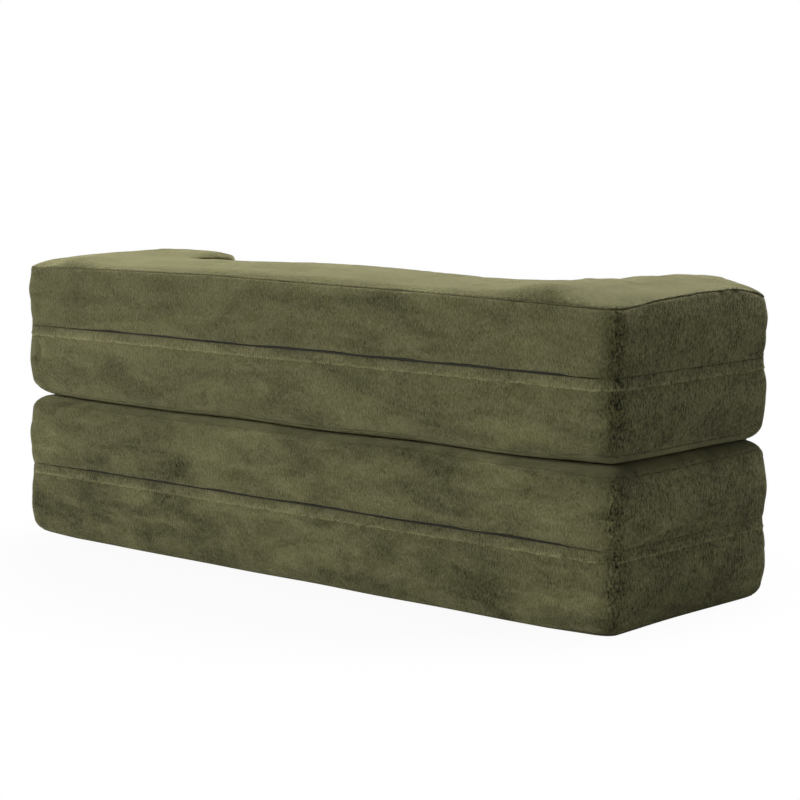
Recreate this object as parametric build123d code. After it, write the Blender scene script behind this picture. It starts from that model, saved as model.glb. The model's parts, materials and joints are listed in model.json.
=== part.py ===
from build123d import *
import math
import os

os.makedirs("parts", exist_ok=True)

# A sofa bed of four foam panels joined edge to edge by sewn fabric hinges. It is shown folded up
# like an accordion: panel 1 lies on the floor and panel 4 is on top. The top panel has a curved
# front edge with a rounded arm at each end. X runs along the sofa, -Y is its front with the
# curve, +Z is up, and the origin is under the middle of the stack, on the floor.

# Driving sizes, in millimetres.
sofa_length = 1480.0
panel_depth = 480.0
panel_height = 142.5
top_panel_height = 138.5
panel_clearance = 0.6

# Plan outline of the panels and of the curved front of the top panel.
corner_radius = 38.0
sharpest_corner_radius = 14.0
arm_width = 160.0
curve_depth = 200.0
curve_corner_radius = 75.0
arm_tip_radius = 58.0

# Cushion form: rounded edges, sides that pull in towards their seams, and the top's crown.
floor_edge_radius = 16.0
hinge_edge_radius = 6.0
open_edge_radius = 22.0
smallest_edge_radius = 1.2
side_draw = 3.0
crown_rise = 18.0
crown_width = 60.0
floor_seam_rise = 12.0
open_seam_rise = 12.0
edge_steps = 3
crown_steps = 5
side_steps = 4

# Covers and foam.
cover_thickness = 4.0
foam_clearance = 0.4
comfort_foam_height = 45.0

# Fabric hinges. The pivots lie just outside the panels, where two panels meet.
pivot_offset = 2.0
pivot_clearance = 0.3
hinge_seat_clearance = 0.3
hinge_end_inset = 8.0
hinge_inner_depth = 14.0
ribbon_below = 15.5
ribbon_above = 2.5
front_hinge_reach = 30.0
front_hinge_inner_depth = 27.0
front_hinge_web = 3.0
front_hinge_foot = 9.0

# Ribbon along the open edges under each zip.
welt_proud = 3.3

# Zips in the back seams of panels 2 and 4.
zip_rise = 6.0
zip_slot_height = 6.0
zip_end_inset = 75.0
zip_fit = 0.25
tape_thickness = 1.2
coil_height = 3.0
coil_thickness = 1.8
stop_length = 5.0
slider_length = 15.0
slider_clearance = 0.3
slider_plate = 1.2
slider_flange = 0.8
slider_end_radius = 1.6

# Room that a cutting tool has beyond what it cuts.
overrun = 10.0

pivot_y = panel_depth / 2 + pivot_offset
hinge_face_y = pivot_y - pivot_clearance
hinge_half_length = sofa_length / 2 - corner_radius - hinge_end_inset
zip_length = sofa_length - 2 * zip_end_inset
face_gap = panel_clearance / 2
tape_face_y = panel_depth / 2 - side_draw - cover_thickness + zip_fit
coil_face_y = tape_face_y + tape_thickness + coil_thickness

# The two faces that each panel lies between, and what is at its lower and upper edge.
PANELS = {
    1: {"low": 0.0, "high": panel_height - face_gap, "edges": ("floor", "hinge")},
    2: {"low": panel_height + face_gap, "high": 2 * panel_height - face_gap, "edges": ("hinge", "open")},
    3: {"low": 2 * panel_height + face_gap, "high": 3 * panel_height - face_gap, "edges": ("open", "hinge")},
    4: {
        "low": 3 * panel_height + face_gap,
        "high": 3 * panel_height + top_panel_height,
        "edges": ("hinge", "crown"),
    },
}
SEAM_RISE = {"floor": floor_seam_rise, "hinge": zip_rise, "open": open_seam_rise, "crown": crown_rise}
EDGE_RADIUS = {"floor": floor_edge_radius, "hinge": hinge_edge_radius, "open": open_edge_radius}


def plan(inset, curved):
    """Outline of a panel seen from above, drawn in by inset, as a face."""
    end = sofa_length / 2 - inset
    back = panel_depth / 2 - inset
    front = -back
    outer = max(corner_radius - inset, sharpest_corner_radius)
    if not curved:
        corners = [(-end, back), (end, back), (end, front), (-end, front)]
        radii = [outer] * len(corners)
    else:
        inner = sofa_length / 2 - arm_width + inset
        floor = curve_depth - panel_depth / 2 + inset
        tip = max(arm_tip_radius - inset, sharpest_corner_radius)
        hollow = curve_corner_radius + inset
        corners = [
            (-end, back), (end, back), (end, front), (inner, front),
            (inner, floor), (-inner, floor), (-inner, front), (-end, front),
        ]
        radii = [outer, outer, outer, tip, hollow, hollow, tip, outer]
    return make_face(FilletPolyline(*corners, radius=radii, close=True))


def edge_sections(kind, offset):
    """Height above the panel's face and inset of each section over one edge, from the face to the side."""
    sections = []
    if kind == "crown":
        for step in range(crown_steps + 1):
            turn = math.radians(90 * step / crown_steps)
            height = crown_rise - (crown_rise - offset) * math.cos(turn)
            inset = side_draw + offset + (crown_width - offset) * (1 - math.sin(turn))
            sections.append((height, inset))
    else:
        radius = max(EDGE_RADIUS[kind] - offset, smallest_edge_radius)
        for step in range(edge_steps + 1):
            turn = math.radians(90 * step / edge_steps)
            height = offset + radius * (1 - math.cos(turn))
            inset = side_draw + offset + radius * (1 - math.sin(turn))
            sections.append((height, inset))
    return sections


def cushion(number, offset=0.0):
    """The whole form of one panel, drawn in by offset on every side."""
    panel = PANELS[number]
    low_edge, high_edge = panel["edges"]
    low = [(panel["low"] + height, inset) for height, inset in edge_sections(low_edge, offset)]
    high = [(panel["high"] - height, inset) for height, inset in edge_sections(high_edge, offset)]
    high.reverse()
    side_low, side_high = low[-1][0], high[0][0]
    side = []
    for step in range(1, side_steps):
        share = step / side_steps
        height = side_low + share * (side_high - side_low)
        side.append((height, offset + side_draw * (2 * share - 1) ** 2))
    curved = number == 4
    sections = [Plane.XY.offset(height) * plan(inset, curved) for height, inset in low + side + high]
    return loft(sections, ruled=True)


def block(x_range, y_range, z_range):
    """A plain block between two corners, for cutting."""
    size = [high - low for low, high in (x_range, y_range, z_range)]
    centre = [(high + low) / 2 for low, high in (x_range, y_range, z_range)]
    return Pos(*centre) * Box(*size)


def slab(low, high):
    """A block over the whole plan between two heights."""
    x = sofa_length / 2 + overrun
    y = panel_depth / 2 + overrun
    return block((-x, x), (-y, y), (low, high))


def seams(number):
    """Heights of the lower and upper seam of a panel's cover."""
    panel = PANELS[number]
    low_edge, high_edge = panel["edges"]
    return panel["low"] + SEAM_RISE[low_edge], panel["high"] - SEAM_RISE[high_edge]


def zip_slot(number):
    """The slot that a zip fills in the back of a panel's cover."""
    middle = PANELS[number]["low"] + zip_rise
    depth = panel_depth / 2 - side_draw - cover_thickness - foam_clearance
    return block(
        (-zip_length / 2, zip_length / 2),
        (depth, panel_depth / 2 + overrun),
        (middle - zip_slot_height / 2, middle + zip_slot_height / 2),
    )


def covers(number):
    """The three sewn pieces of a panel's cover: under side, side strip and top."""
    panel = PANELS[number]
    low_seam, high_seam = seams(number)
    shell = cushion(number) - cushion(number, cover_thickness)
    if number in (2, 4):
        shell -= zip_slot(number)
    return {
        "base_cover": shell & slab(panel["low"] - overrun, low_seam),
        "side_cover": shell & slab(low_seam, high_seam),
        "top_cover": shell & slab(high_seam, panel["high"] + overrun),
    }


def foams(number):
    """The two foam layers: the soft one lies on the side that people sleep on."""
    panel = PANELS[number]
    core = cushion(number, cover_thickness + foam_clearance)
    face = cover_thickness + foam_clearance + comfort_foam_height
    if number in (1, 3):
        joint = panel["high"] - face
        lower, upper = "support_foam", "comfort_foam"
    else:
        joint = panel["low"] + face
        lower, upper = "comfort_foam", "support_foam"
    return {
        lower: core & slab(panel["low"] - overrun, joint),
        upper: core & slab(joint, panel["high"] + overrun),
    }


def back_hinge_leaf(number, upper):
    """Half of a back hinge: a strip sewn along the back edge of one panel."""
    panel = PANELS[number]
    if upper:
        heights = (panel["low"], panel["low"] + ribbon_above)
    else:
        heights = (panel["high"] - ribbon_below, panel["high"])
    strip = block(
        (-hinge_half_length, hinge_half_length),
        (panel_depth / 2 - hinge_inner_depth, hinge_face_y),
        heights,
    )
    return strip - cushion(number, -hinge_seat_clearance)


def front_hinge_leaf(number, upper):
    """Half of the front hinge: a web over the rounded edges, with a foot on the panel's side."""
    panel = PANELS[number]
    web_y = -hinge_face_y + front_hinge_web
    if upper:
        heights = (panel["low"], panel["low"] + front_hinge_reach)
        hollow_heights = (panel["low"] - overrun, panel["low"] + front_hinge_reach - front_hinge_foot)
    else:
        heights = (panel["high"] - front_hinge_reach, panel["high"])
        hollow_heights = (panel["high"] - front_hinge_reach + front_hinge_foot, panel["high"] + overrun)
    x_range = (-hinge_half_length, hinge_half_length)
    strip = block(x_range, (-hinge_face_y, -panel_depth / 2 + front_hinge_inner_depth), heights)
    x_cut = (-hinge_half_length - overrun, hinge_half_length + overrun)
    hollow = block(x_cut, (web_y, 0.0), hollow_heights)
    return strip - cushion(number, -hinge_seat_clearance) - hollow


def welt(number):
    """The ribbon that goes on round the ends and the front of the lower panel of a pair."""
    panel = PANELS[number]
    band = slab(panel["high"] - ribbon_below, panel["high"])
    ring = (cushion(number, -welt_proud) & band) - cushion(number, -hinge_seat_clearance)
    x_range = (-hinge_half_length, hinge_half_length)
    return ring - block(x_range, (0.0, panel_depth / 2 + overrun), (panel["low"], panel["high"] + overrun))


def zip_pieces(number):
    """Tape, closed coil, end stops and slider of the zip in a panel's lower back seam."""
    middle = PANELS[number]["low"] + zip_rise
    half = zip_length / 2 - zip_fit
    half_slot = zip_slot_height / 2 - zip_fit
    half_coil = coil_height / 2
    tape_back = tape_face_y + tape_thickness
    tape = block((-half, half), (tape_face_y, tape_back), (middle - half_slot, middle + half_slot))
    coil_half = half - stop_length
    coil = block((-coil_half, coil_half), (tape_back, coil_face_y), (middle - half_coil, middle + half_coil))
    stops = Part() + [
        block(x_range, (tape_back, coil_face_y), (middle - half_coil, middle + half_coil))
        for x_range in ((-half, -coil_half), (coil_half, half))
    ]
    plate_y = coil_face_y + slider_clearance
    inner = half_coil + slider_clearance
    outer = inner + slider_flange
    x_range = (coil_half - slider_length, coil_half)
    body = block(x_range, (tape_back + slider_clearance, plate_y + slider_plate), (middle - outer, middle + outer))
    body = fillet(body.edges().filter_by(Axis.Y), slider_end_radius)
    x_cut = (x_range[0] - overrun, x_range[1] + overrun)
    channel = block(x_cut, (tape_back, plate_y), (middle - inner, middle + inner))
    return {"zip_tape": tape, "zip_coil": coil, "zip_stops": stops, "zip_slider": body - channel}


def build():
    """Every piece of the sofa bed by its name."""
    pieces = {}
    for number in PANELS:
        for name, shape in {**foams(number), **covers(number)}.items():
            pieces[f"panel_{number}_{name}"] = shape
    for number, hinge in ((1, "lower_back_hinge"), (3, "upper_back_hinge")):
        pieces[f"{hinge}_lower_leaf"] = back_hinge_leaf(number, False)
        pieces[f"{hinge}_upper_leaf"] = back_hinge_leaf(number + 1, True)
        pieces[f"panel_{number}_ribbon"] = welt(number)
    pieces["front_hinge_lower_leaf"] = front_hinge_leaf(2, False)
    pieces["front_hinge_upper_leaf"] = front_hinge_leaf(3, True)
    for number in (2, 4):
        for name, shape in zip_pieces(number).items():
            pieces[f"panel_{number}_{name}"] = shape
    return pieces


for piece_name, piece_shape in build().items():
    export_step(piece_shape, f"parts/{piece_name}.step")
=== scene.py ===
import json
import math
from collections import namedtuple

import bpy
import numpy as np
from bpy.props import FloatProperty, FloatVectorProperty, IntProperty, PointerProperty
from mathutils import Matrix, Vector


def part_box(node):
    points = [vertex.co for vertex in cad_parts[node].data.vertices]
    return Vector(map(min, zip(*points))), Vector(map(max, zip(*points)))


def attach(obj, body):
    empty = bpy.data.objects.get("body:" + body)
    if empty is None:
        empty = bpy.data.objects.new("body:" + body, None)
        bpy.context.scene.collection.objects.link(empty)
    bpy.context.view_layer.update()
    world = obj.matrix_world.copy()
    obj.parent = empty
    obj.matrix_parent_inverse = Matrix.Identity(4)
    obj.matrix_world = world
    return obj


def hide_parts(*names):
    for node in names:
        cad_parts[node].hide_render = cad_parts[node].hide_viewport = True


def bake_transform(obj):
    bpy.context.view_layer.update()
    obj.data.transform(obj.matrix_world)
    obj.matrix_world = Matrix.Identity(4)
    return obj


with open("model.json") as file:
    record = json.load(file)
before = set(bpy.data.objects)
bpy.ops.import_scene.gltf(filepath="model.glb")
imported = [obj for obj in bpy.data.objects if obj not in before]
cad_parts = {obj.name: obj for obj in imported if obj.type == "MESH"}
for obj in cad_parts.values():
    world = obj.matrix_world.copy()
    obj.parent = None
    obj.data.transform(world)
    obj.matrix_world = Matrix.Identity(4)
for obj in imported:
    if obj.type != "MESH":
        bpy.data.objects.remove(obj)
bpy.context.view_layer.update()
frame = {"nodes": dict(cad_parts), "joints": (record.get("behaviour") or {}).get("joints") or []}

bl_info = {
    "name": "Curved sofa bed",
    "version": (1, 0, 0),
    "blender": (4, 5, 0),
    "location": "View3D > Sidebar > Sofa bed",
    "description": "Dresses the folding sofa bed in plush covers, ribbons, hinges, zips and foam",
    "category": "Object",
}

# The panels, from the frame: what the two edges of each are, and the heights that it lies between.
EDGES = {1: ("floor", "hinge"), 2: ("hinge", "open"), 3: ("open", "hinge"), 4: ("hinge", "crown")}
LOW = {n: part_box(f"panel_{n}_base_cover")[0].z for n in EDGES}
HIGH = {n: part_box(f"panel_{n}_top_cover")[1].z for n in EDGES}
HALF_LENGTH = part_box("panel_2_side_cover")[1].x
HALF_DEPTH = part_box("panel_2_side_cover")[1].y
HINGE_HEIGHT = {name: (HIGH[n] + LOW[n + 1]) / 2 for name, n in (("lower", 1), ("front", 2), ("upper", 3))}
PIVOT = next(j["pos_m"][1] for j in frame["joints"] if j["name"] == "lower_back_hinge")

# Room left free at a hinge's plane and over the floor, and the height that the crown stays under.
HINGE_ROOM = 0.0006
FLOOR_ROOM = 0.0004
CROWN_TOP = 0.5810

# Kinds of edge: radius, its growth at the corners, the seam's angle over the edge, rows from the face to
# the seam and from there to the side, and the seam's depth and roll.
Edge = namedtuple("Edge", "radius grow turn steps after depth roll")
KINDS = {
    "floor": Edge(0.017, 0.014, 40.0, 4, 4, 0.0012, 0.0012),
    "hinge": Edge(0.0040, 0.0, 90.0, 4, 0, 0.0018, 0.0017),
    "open": Edge(0.022, 0.010, 62.0, 6, 2, 0.0013, 0.0013),
    "crown": Edge(0.018, 0.0, 90.0, 9, 0, 0.0026, 0.0021),
}

# Heights of the crown and of its back seam at places along the sofa, and of its seam at places along an end.
CREST = np.array([
    (-0.745, 0.5585), (-0.700, 0.5635), (-0.660, 0.5715), (-0.600, 0.5750), (-0.555, 0.5705),
    (-0.510, 0.5642), (-0.460, 0.5632), (-0.400, 0.5622), (-0.350, 0.5604), (-0.280, 0.5602),
    (-0.210, 0.5636), (-0.150, 0.5662), (-0.080, 0.5678), (0.060, 0.5684), (0.150, 0.5690),
    (0.260, 0.5662), (0.390, 0.5634), (0.520, 0.5612), (0.590, 0.5685), (0.660, 0.5695), (0.745, 0.5640),
]).T
BACK_SEAM = np.array([
    (-0.742, 0.5445), (-0.711, 0.5460), (-0.600, 0.5490), (-0.487, 0.5510), (-0.285, 0.5540),
    (-0.012, 0.5560), (0.188, 0.5585), (0.501, 0.5545), (0.661, 0.5510), (0.742, 0.5480),
]).T
END_SEAM = np.array([
    (-0.242, 0.5330), (-0.215, 0.5380), (-0.185, 0.5480), (-0.147, 0.5555), (-0.115, 0.5590),
    (-0.008, 0.5585), (0.109, 0.5535), (0.200, 0.5490), (0.242, 0.5475),
]).T

# Creases of the crown: start, end, width and depth. Folds at the third panel's end: height, place, width.
CREASES = (
    ((-0.450, 0.020), (-0.690, 0.096), 0.010, 0.0036),
    ((0.560, 0.020), (0.640, -0.075), 0.012, 0.0016),
)
FOLDS = ((-0.0070, 0.698, 0.012), (0.0022, 0.668, 0.015))

# Steps round an outline: half a corner, an end, a straight long side, and the top panel's curved one with
# each arm's front, tip, inner side and bend.
CORNER_STEPS = 5
END_STEPS = 50
LONG_STEPS = 176
ARM_STEPS = (8, 12, 8, 14)
CURVE_STEPS = 126
BACK_STEPS = 2 * sum(ARM_STEPS) + CURVE_STEPS
# Rows over a face's edge, rows up a side, and rounds of smoothing of the curved face's grid.
FACE_STEPS = 4
SIDE_STEPS = 20
RELAX_STEPS = 3
# Rows at the crown's ring over which its waves fade in, and cells for its lift and its wrinkles, and how
# high these three stand.
WAVE_FADE, LIFT_FADE, WRINKLE_FADE = 6.0, 14.0, 8.0
WAVE_HEIGHT, LIFT_HEIGHT, WRINKLE_HEIGHT = 0.0007, 0.0012, 0.0022
# Waves of the sides: height, length and seed, and how much shorter they are upright.
SIDE_WAVES, UPRIGHT = ((0.0011, 0.30, 60), (0.0007, 0.11, 70)), 2.2
# How far the ends, the front and the back stand out, and the share of it that the edges follow.
SWELL_END = {1: 0.0120, 2: 0.0120, 3: 0.0080, 4: 0.0080}
SWELL_FRONT, SWELL_BACK, SWELL_SHARE = 0.0008, 0.0010, 0.85
# How much wider than high an open edge is at the back and at an end, and the width of the crown's edge with
# what it gains at the ends and loses on the inner side.
LEAN_BACK, LEAN_END, LEAN_ROOM = 0.75, 0.12, 0.006
CROWN_WIDE, CROWN_GAIN, CROWN_LOSS = 0.022, 0.026, 0.011
# A seam's tuck: shares of the roll back along the cover and into it. The zip's slit: narrowest, widest.
TUCK = ((1.00, 0.10), (0.45, 0.45), (0.20, 1.0))
SLIT_ROOM = (0.0014, 0.0036)
# Ribbons: points of the profile, reach below and above the hinge's height, thickness, and how far one is
# sunk in the back. The front strip's thickness.
RIBBON_PROFILE = 16
RIBBON_BELOW, RIBBON_ABOVE, RIBBON_THICK, RIBBON_SUNK = 0.0160, 0.0042, 0.0021, 0.0008
STRIP_THICK = 0.0012
# Foam: gap under the cover, radius of a glued edge, depth under the crown, and steps over an edge.
FOAM_GAP, GLUED_EDGE, CROWN_FOAM, FOAM_STEPS = 0.0050, 0.0020, 0.012, 4
# Stitches: distance apart, half the length, half the thickness, sections and sides.
STITCH_PITCH, STITCH_HALF, STITCH_THICK, STITCH_STEPS, STITCH_SIDES = 0.0120, 0.0038, 0.0010, 5, 6
# Lengths below this count as none.
TINY = 1e-9

CLOTH = {
    "quality": 4, "mass": 0.3, "tension_stiffness": 12.0, "compression_stiffness": 12.0,
    "shear_stiffness": 5.0, "bending_stiffness": 0.3, "use_pressure": True, "shrink_min": -0.005,
    "vertex_group_mass": "sewn",
}

# Lamps: name, place, size and power as a share of the key light's.
LAMPS = (
    ("key", (3.6, 5.4, 3.3), 3.4, 4.7),
    ("top", (0.1, -0.9, 3.2), 2.5, 2.35),
    ("front", (1.4, -3.0, 1.9), 2.6, 0.40),
    ("side", (-3.4, 0.2, 1.6), 1.8, 0.02),
)
LAMP_AIM = (0, 0, 0.35)
FLOOR_RADIUS, FLOOR_POINTS, FLOOR_DROP = 9, 96, -0.0015
WHITE = (1.0, 1.0, 1.0)


class SofaSizes(bpy.types.PropertyGroup):
    """Sizes of the cushions and their covers."""

    corner: FloatProperty(
        name="Corner radius", description="Radius of the corners seen from above", default=0.038, unit="LENGTH")
    arm: FloatProperty(
        name="Arm width", description="Width of each arm of the top panel", default=0.160, unit="LENGTH")
    hollow: FloatProperty(
        name="Curve depth", description="Depth of the top panel's curved front", default=0.200, unit="LENGTH")
    hollow_corner: FloatProperty(
        name="Curve corner radius", description="Radius where the curve meets the arms", default=0.075,
        unit="LENGTH")
    arm_tip: FloatProperty(
        name="Arm tip radius", description="Radius of the arms' inner front corners", default=0.058,
        unit="LENGTH")
    tightest: FloatProperty(
        name="Tightest corner", description="Smallest corner radius of an inset outline", default=0.014,
        unit="LENGTH")
    face_inset: FloatProperty(
        name="Face inset", description="How far in the face's own grid starts", default=0.060, unit="LENGTH")
    draw: FloatProperty(
        name="Side draw", description="How far the sides pull in at their seams", default=0.003, unit="LENGTH")
    cover: FloatProperty(
        name="Cover thickness", description="Thickness of the plush cover", default=0.0016, unit="LENGTH")
    swell: FloatProperty(
        name="Swelling", description="How far the filling may push the covers out", default=0.0045,
        unit="LENGTH")
    pressure: FloatProperty(
        name="Filling pressure", description="Pressure inside the cushions while they are formed", default=4.0)
    steps: IntProperty(
        name="Simulation steps", description="Frames that the filling presses on the covers", default=20)


class SofaColours(bpy.types.PropertyGroup):
    """Colours of the finishes."""

    plush: FloatVectorProperty(
        name="Plush", description="Colour of the plush", default=(0.135, 0.131, 0.062), size=3, subtype="COLOR")
    # The ribbons' colour is set lighter than the plush's: painted light for the bands, which catch more light than
    # the faces.
    ribbon: FloatVectorProperty(
        name="Ribbon", description="Colour of the ribbons", default=(0.160, 0.154, 0.076), size=3,
        subtype="COLOR")
    support: FloatVectorProperty(
        name="Support foam", description="Colour of the firm foam", default=(0.82, 0.79, 0.68), size=3,
        subtype="COLOR")
    comfort: FloatVectorProperty(
        name="Comfort foam", description="Colour of the soft foam", default=(0.90, 0.88, 0.80), size=3,
        subtype="COLOR")
    zip: FloatVectorProperty(
        name="Zip", description="Colour of the zips", default=(0.018, 0.017, 0.012), size=3, subtype="COLOR")
    thread: FloatVectorProperty(
        name="Thread", description="Colour of the sewing thread", default=(0.038, 0.036, 0.018), size=3,
        subtype="COLOR")


class SofaStage(bpy.types.PropertyGroup):
    """Camera and lights."""

    camera_place: FloatVectorProperty(
        name="Camera place", description="Where the camera stands", default=(-2.871, 3.159, 0.858), size=3,
        subtype="TRANSLATION", unit="LENGTH")
    camera_aim: FloatVectorProperty(
        name="Camera aim", description="Direction in which the camera looks",
        default=(0.65754, -0.74279, -0.12615), size=3, subtype="DIRECTION")
    lens: FloatProperty(name="Lens", description="Focal length of the camera", default=100.8)
    key: FloatProperty(name="Key light", description="Power of the large lamp over the back", default=70.0)
    sky: FloatProperty(name="Sky", description="Strength of the even light from all round", default=0.11)


def sizes():
    """The sizes as they are set in the scene."""
    return bpy.context.scene.sofa_sizes


# Numpy helpers.

def ease(x):
    """Smooth step: 3x^2 - 2x^3 with x held from 0 to 1."""
    x = np.clip(x, 0.0, 1.0)
    return x * x * (3 - 2 * x)


def bell(x, width):
    """Bell curve exp(-(x / width)^2)."""
    return np.exp(-(x / width) ** 2)


def unit(ways):
    """Directions of unit length."""
    return ways / np.maximum(np.linalg.norm(ways, axis=-1, keepdims=True), TINY)


def ripple(points, wavelength, seed, count=18):
    """Soft noise of unit strength: a sum of plane waves, sin(k.p + phase), |k| near 2 pi / wavelength."""
    rng = np.random.default_rng(seed)
    ways = unit(rng.normal(size=(count, points.shape[-1])))
    ways *= (2 * np.pi / wavelength) * rng.uniform(0.6, 1.4, (count, 1))
    phases = rng.uniform(0, 2 * np.pi, count)
    return np.sin(points @ ways.T + phases).sum(-1) * math.sqrt(2.0 / count)


def inward(shape, reach):
    """Share that eases from 0 at a grid's border to 1 at reach cells inside it."""
    v, u = (np.minimum(np.arange(n), n - 1 - np.arange(n)) / reach for n in shape)
    return ease(np.minimum(u[None, :], v[:, None]))


def run_of(a, b, count, spread=None):
    """count points along a straight run from a to b, without b, with their outward directions."""
    t = (np.arange(count) / count if spread is None else spread)[:, None]
    a, b = np.array(a, float), np.array(b, float)
    way = (b - a) / max(np.linalg.norm(b - a), TINY)
    return a + t * (b - a), np.repeat([[-way[1], way[0]]], count, 0)


def arc_of(centre, radius, start, end, count, hollow=False):
    """count points on an arc round centre from the angle start to end, without the end."""
    a = np.radians(start + (end - start) * np.arange(count) / count)
    way = np.stack([np.cos(a), np.sin(a)], 1)
    return np.array(centre) + radius * way, -way if hollow else way


def back_spread():
    """Shares along the top panel's back edge: close together behind the arms and wide behind the curve, so
    that the face's grid fans out without folding."""
    marks = np.cumsum([0, *ARM_STEPS, CURVE_STEPS, *ARM_STEPS[::-1]])
    half = np.array([0.655, 0.676, 0.682, 0.692, 0.702])
    x = np.interp(np.arange(marks[-1]), marks, [*-half[::-1], *half])
    smooth = np.convolve(np.pad(x, 6, mode="reflect", reflect_type="odd"), np.ones(13) / 13, "valid")
    return (smooth + half[-1]) / (2 * half[-1])


def outline(inset, curved):
    """Points and outward directions of a panel's outline drawn in by inset, from above. It runs clockwise
    from the middle of the corner at -X +Y."""
    s = sizes()
    ex, by = HALF_LENGTH - inset, HALF_DEPTH - inset
    r = max(s.corner - inset, s.tightest)
    k = CORNER_STEPS
    parts = [
        arc_of((-ex + r, by - r), r, 135, 90, k),
        run_of((-ex + r, by), (ex - r, by), *((BACK_STEPS, back_spread()) if curved else (LONG_STEPS,))),
        arc_of((ex - r, by - r), r, 90, 0, 2 * k),
        run_of((ex, by - r), (ex, -by + r), END_STEPS),
        arc_of((ex - r, -by + r), r, 0, -90, 2 * k),
    ]
    if curved:
        wall, floor = HALF_LENGTH - s.arm + inset, s.hollow - HALF_DEPTH + inset
        rt, rh = max(s.arm_tip - inset, s.tightest), s.hollow_corner + inset
        arm, tip, side, bend = ARM_STEPS
        parts += [
            run_of((ex - r, -by), (wall + rt, -by), arm),
            arc_of((wall + rt, -by + rt), rt, -90, -180, tip),
            run_of((wall, -by + rt), (wall, floor - rh), side),
            arc_of((wall - rh, floor - rh), rh, 0, 90, bend, True),
            run_of((wall - rh, floor), (rh - wall, floor), CURVE_STEPS),
            arc_of((rh - wall, floor - rh), rh, 90, 180, bend, True),
            run_of((-wall, floor - rh), (-wall, -by + rt), side),
            arc_of((-wall - rt, -by + rt), rt, 0, -90, tip),
            run_of((-wall - rt, -by), (-ex + r, -by), arm),
        ]
    else:
        parts.append(run_of((ex - r, -by), (-ex + r, -by), LONG_STEPS))
    parts += [
        arc_of((-ex + r, -by + r), r, -90, -180, 2 * k),
        run_of((-ex, -by + r), (-ex, by - r), END_STEPS),
        arc_of((-ex + r, by - r), r, 180, 135, k),
    ]
    return [np.concatenate(part) for part in zip(*parts)]


def border(curved):
    """Ring numbers of the face's four sides: back and front from -X to +X, both ends from back to front."""
    nx, ny = (BACK_STEPS if curved else LONG_STEPS) + 2 * CORNER_STEPS, END_STEPS + 2 * CORNER_STEPS
    total = 2 * (nx + ny)
    back = np.arange(nx + 1)
    right = nx + np.arange(ny + 1)
    front = (nx + ny + np.arange(nx + 1))[::-1]
    left = (np.arange(2 * nx + ny, total + 1) % total)[::-1]
    return back, right, front, left


def face_grid(ring, curved):
    """The face inside a ring: a Coons surface, the two ruled surfaces between facing sides less the bilinear
    one between the corners. Its parameters are shares of the way along the back and an end."""
    back, right, front, left = border(curved)
    far, side = ring[back, 0], ring[left, 1]
    u = ((far - far[0]) / (far[-1] - far[0]))[None, :, None]
    v = ((side - side[0]) / (side[-1] - side[0]))[:, None, None]
    b, f = ring[back][None], ring[front][None]
    a, c = ring[left][:, None], ring[right][:, None]
    ruled = (1 - v) * b + v * f + (1 - u) * a + u * c
    corners = (1 - u) * (1 - v) * b[:, :1] + u * (1 - v) * b[:, -1:]
    grid = ruled - (corners + (1 - u) * v * f[:, :1] + u * v * f[:, -1:])
    for _ in range(RELAX_STEPS if curved else 0):
        grid[1:-1, 1:-1] = (grid[:-2, 1:-1] + grid[2:, 1:-1] + grid[1:-1, :-2] + grid[1:-1, 2:]) / 4
    return grid


def crest_height(flat):
    """Height of the top panel's crown: full arms that round down at the front, a sunken middle, a fuller
    strip along the back and a slack corner."""
    x, y = flat[..., 0], flat[..., 1]
    tips = ease((np.abs(x) - 0.53) / 0.05) * ease((-y - 0.135) / 0.105)
    corner = ease((x - 0.60) / 0.10) * ease((y - 0.11) / 0.12)
    behind = ease((y - 0.02) / 0.16) * ease((0.66 - np.abs(x)) / 0.12)
    return np.interp(x, *CREST) + 0.0065 * behind - (0.002 + 0.008 * (x > 0)) * tips - 0.0055 * corner


def inner_side(points):
    """Share of the outline that belongs to the hollow and the arms' tips, from 0 to 1."""
    return ease((0.655 - np.abs(points[:, 0])) / 0.06) * (points[:, 1] < 0.1)


def crown_seam(points):
    """Height of the seam under the crown: it bows along the back, rises towards the front, and lies lower
    round the hollow and lowest at the arms' tips."""
    x, y = points[:, 0], points[:, 1]
    ends, share, inner = np.interp(y, *END_SEAM), ease((y - 0.100) / 0.135), inner_side(points)
    outer = ends * (1 - share) + np.interp(x, *BACK_SEAM) * share
    hollow = crest_height(points) - 0.0115 - 0.0150 * ease((-y - 0.185) / 0.045)
    return np.where(inner > 0, ends + (hollow - ends) * inner, outer)


def edge_radius(number, points):
    """Radius of a panel's lower and upper edge round its outline, softer near the corners of a slack cover."""
    corner = ease((np.abs(points[:, 0]) - 0.60) / 0.14)
    wave = 1 + 0.10 * ripple(points, 0.35, 40 + number)
    return [(KINDS[e].radius + KINDS[e].grow * corner) * wave for e in EDGES[number]]


def swelling(number, normal):
    """How far the filled sides stand out: most at the ends of the two loaded panels below, and hardly where
    a hinge folds two panels flat against each other."""
    front, back = np.maximum(-normal[:, 1], 0) ** 2, np.maximum(normal[:, 1], 0) ** 2
    return SWELL_END[number] * normal[:, 0] ** 2 + SWELL_FRONT * front + SWELL_BACK * back


def side_edge(number, normal):
    """How far inside the outline a side meets its rounded edges: the draw less most of the swelling."""
    return sizes().draw - SWELL_SHARE * swelling(number, normal)


def edge_turn(kind, step):
    """Angle of a row over a rounded edge, from 0 at the face to the seam's and on to 90 degrees at the side."""
    edge = KINDS[kind]
    if step > edge.steps:
        return math.radians(edge.turn + (90 - edge.turn) * (step - edge.steps) / (edge.after + 1))
    share = step / edge.steps
    return math.radians(edge.turn * (share ** 1.4 if kind == "crown" else share))


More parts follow.
